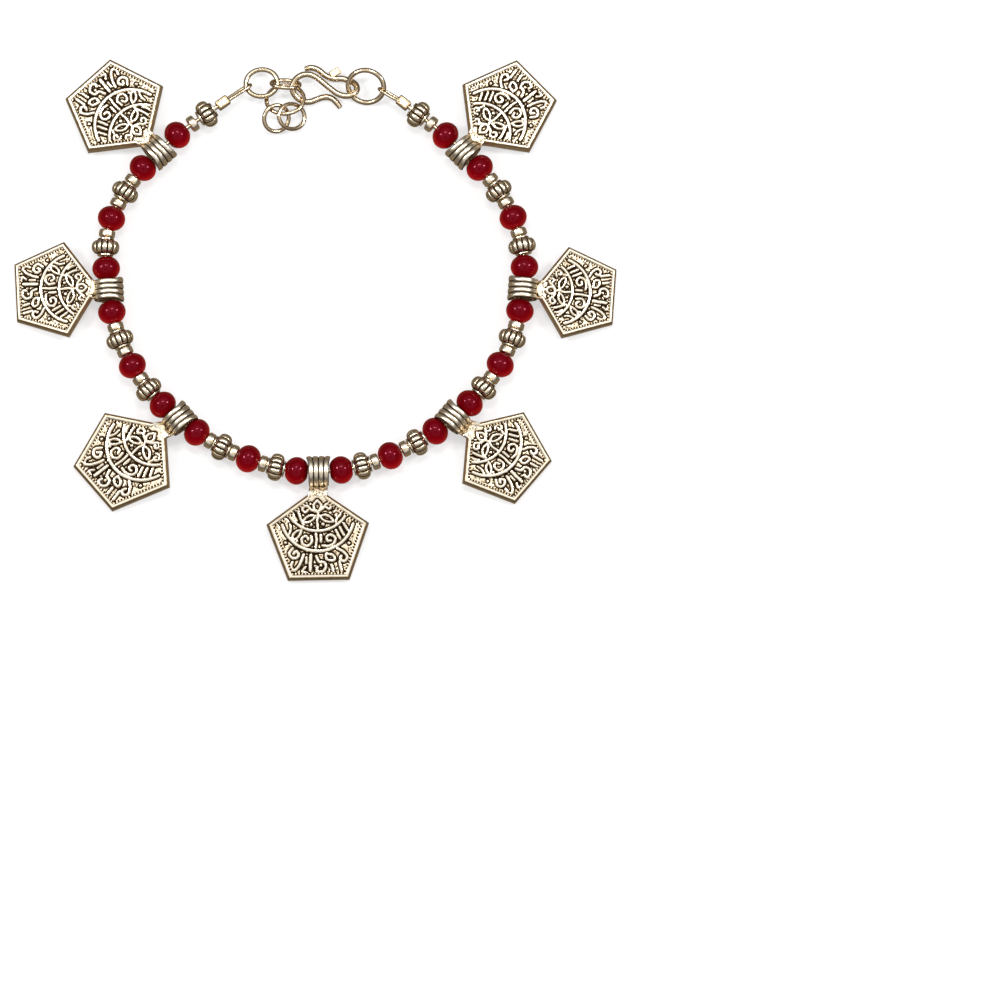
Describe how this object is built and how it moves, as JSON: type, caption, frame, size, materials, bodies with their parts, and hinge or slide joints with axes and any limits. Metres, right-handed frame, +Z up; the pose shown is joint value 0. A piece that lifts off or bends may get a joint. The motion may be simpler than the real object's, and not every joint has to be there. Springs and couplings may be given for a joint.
{
  "type": "payal anklet",
  "caption": "Beaded payal anklet: relief pentagon pendants, red glass beads and ribbed silver beads on a wire, closed by an S-hook between end rings.",
  "frame": {"origin": "centre of the bounding box, at its bottom, on the surface that the anklet lies on", "axes": "+Z up from the surface; +Y from the middle pendant towards the clasp; +X to the right seen from above"},
  "size_m": [0.129, 0.1136, 0.0064],
  "materials": {
    "oxidised_silver": "cast and oxidised silver alloy, dark in its hollows and worn bright on its high places",
    "polished_silver": "plain polished wire with a slight warm tint",
    "red_glass": "deep ruby glass, glossy and faintly clear"
  },
  "bodies": {
    "root": {"pendant_1": "oxidised_silver", "pendant_2": "oxidised_silver", "pendant_3": "oxidised_silver", "pendant_4": "oxidised_silver", "pendant_5": "oxidised_silver", "pendant_6": "oxidised_silver", "pendant_7": "oxidised_silver", "red_bead_01": "red_glass", "red_bead_02": "red_glass", "red_bead_03": "red_glass", "red_bead_04": "red_glass", "red_bead_05": "red_glass", "red_bead_06": "red_glass", "red_bead_07": "red_glass", "red_bead_08": "red_glass", "red_bead_09": "red_glass", "red_bead_10": "red_glass", "red_bead_11": "red_glass", "red_bead_12": "red_glass", "red_bead_13": "red_glass", "red_bead_14": "red_glass", "red_bead_15": "red_glass", "red_bead_16": "red_glass", "red_bead_17": "red_glass", "red_bead_18": "red_glass", "red_bead_19": "red_glass", "red_bead_20": "red_glass", "ribbed_bead_01": "oxidised_silver", "ribbed_bead_02": "oxidised_silver", "ribbed_bead_03": "oxidised_silver", "ribbed_bead_04": "oxidised_silver", "ribbed_bead_05": "oxidised_silver", "ribbed_bead_06": "oxidised_silver", "ribbed_bead_07": "oxidised_silver", "ribbed_bead_08": "oxidised_silver", "ribbed_bead_09": "oxidised_silver", "ribbed_bead_10": "oxidised_silver", "ribbed_bead_11": "oxidised_silver", "ribbed_bead_12": "oxidised_silver", "ribbed_bead_13": "oxidised_silver", "ribbed_bead_14": "oxidised_silver", "bead_wire": "polished_silver", "left_crimp": "polished_silver", "right_crimp": "polished_silver", "ring_left": "polished_silver", "ring_joining": "polished_silver", "ring_spare": "polished_silver", "ring_drop_1": "polished_silver", "ring_drop_2": "polished_silver", "ring_right": "polished_silver", "s_hook": "polished_silver"}
  },
  "joints": []
}
